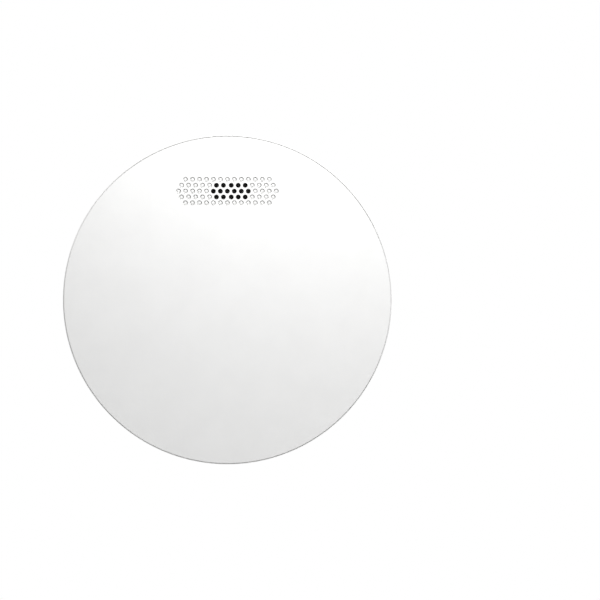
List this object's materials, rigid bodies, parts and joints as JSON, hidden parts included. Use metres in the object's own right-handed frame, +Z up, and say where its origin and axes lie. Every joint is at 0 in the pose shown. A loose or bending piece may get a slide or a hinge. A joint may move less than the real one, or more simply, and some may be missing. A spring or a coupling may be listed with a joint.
{
  "type": "smoke detector",
  "caption": "Round flat optical smoke detector with a domed white cover, sounder grille and side smoke gap, twist-locked on a screwed mounting plate.",
  "frame": {"origin": "on the axis of the case, in the plane of the wall that the four feet touch; the pattern of the two wall screws is centred on the same axis, half a millimetre in front", "axes": "+Y points out of the back of the mounting plate into the wall, +Z is up with the sounder grille at the top, +X is to the right as the face is seen"},
  "size_m": [0.11, 0.0302, 0.11],
  "materials": {
    "white_plastic": "fine satin moulded ABS",
    "black_plastic": "matt black moulded plastic",
    "grey_plastic": "matt dark grey moulded plastic",
    "black_rubber": "soft black rubber",
    "board_green": "solder-masked glass-fibre board",
    "chip_black": "moulded epoxy with tinned legs",
    "steel": "bright steel",
    "nickel": "nickel plate",
    "brass": "bare brass sheet",
    "ceramic": "silvered ceramic",
    "can_aluminium": "drawn aluminium can",
    "cell_sleeve": "shrink sleeve",
    "lamp_red": "diffused red epoxy",
    "lens_smoke": "infrared-clear epoxy",
    "ferrite": "ferrite drum",
    "grille_fabric": "black acoustic cloth",
    "label_foil": "blank printed-label foil"
  },
  "bodies": {
    "plate": {"mounting_plate": "white_plastic", "rubber_feet": "black_rubber"},
    "detector": {"base_housing": "white_plastic", "rating_label": "label_foil", "test_switch_body": "chip_black", "activation_switch": "chip_black", "circuit_board": "board_green", "microcontroller": "chip_black", "driver_chip": "chip_black", "capacitors": "can_aluminium", "chip_parts": "ceramic", "boost_coil": "ferrite", "status_led": "lamp_red", "chamber_base": "black_plastic", "chamber_cap": "black_plastic", "insect_screen": "black_plastic", "ir_emitter": "lens_smoke", "photodiode": "lens_smoke", "photodiode_shield": "nickel", "sounder_housing": "black_plastic", "piezo_disc": "brass", "piezo_ceramic": "ceramic", "piezo_clamp": "black_plastic", "sounder_contacts": "brass", "battery_cell": "cell_sleeve", "battery_holder": "grey_plastic", "battery_tabs": "nickel", "inner_tray": "black_plastic", "tray_screws": "steel", "cover_springs": "steel"},
    "cover": {"front_cover": "white_plastic", "smoke_guide": "black_plastic", "grille_cloth": "grille_fabric"},
    "plunger": {"test_switch_plunger": "grey_plastic"},
    "lever": {"activation_lever": "white_plastic"}
  },
  "joints": [
    {"name": "bayonet_twist", "type": "hinge", "parent": "plate", "child": "detector", "pos_m": [0, 0, 0], "axis": [0, -1, 0], "range_deg": [0, 16]},
    {"name": "cover_press", "type": "slide", "parent": "detector", "child": "cover", "axis": [0, 1, 0], "range_m": [0, 0.0005], "stiffness_N_per_m": 2700, "springref_m": -0.0012, "deforming": ["cover_springs"]},
    {"name": "test_press", "type": "slide", "parent": "detector", "child": "plunger", "axis": [0, 1, 0], "range_m": [0, 0.0005]},
    {"name": "lever_slide", "type": "slide", "parent": "detector", "child": "lever", "axis": [-1, 0, 0], "range_m": [0, 0.0034]}
  ],
  "couplings": [
    {"joint": "test_press", "follows": "cover_press", "ratio": 1},
    {"joint": "lever_slide", "follows": "bayonet_twist", "m_per_rad": 0.012}
  ]
}
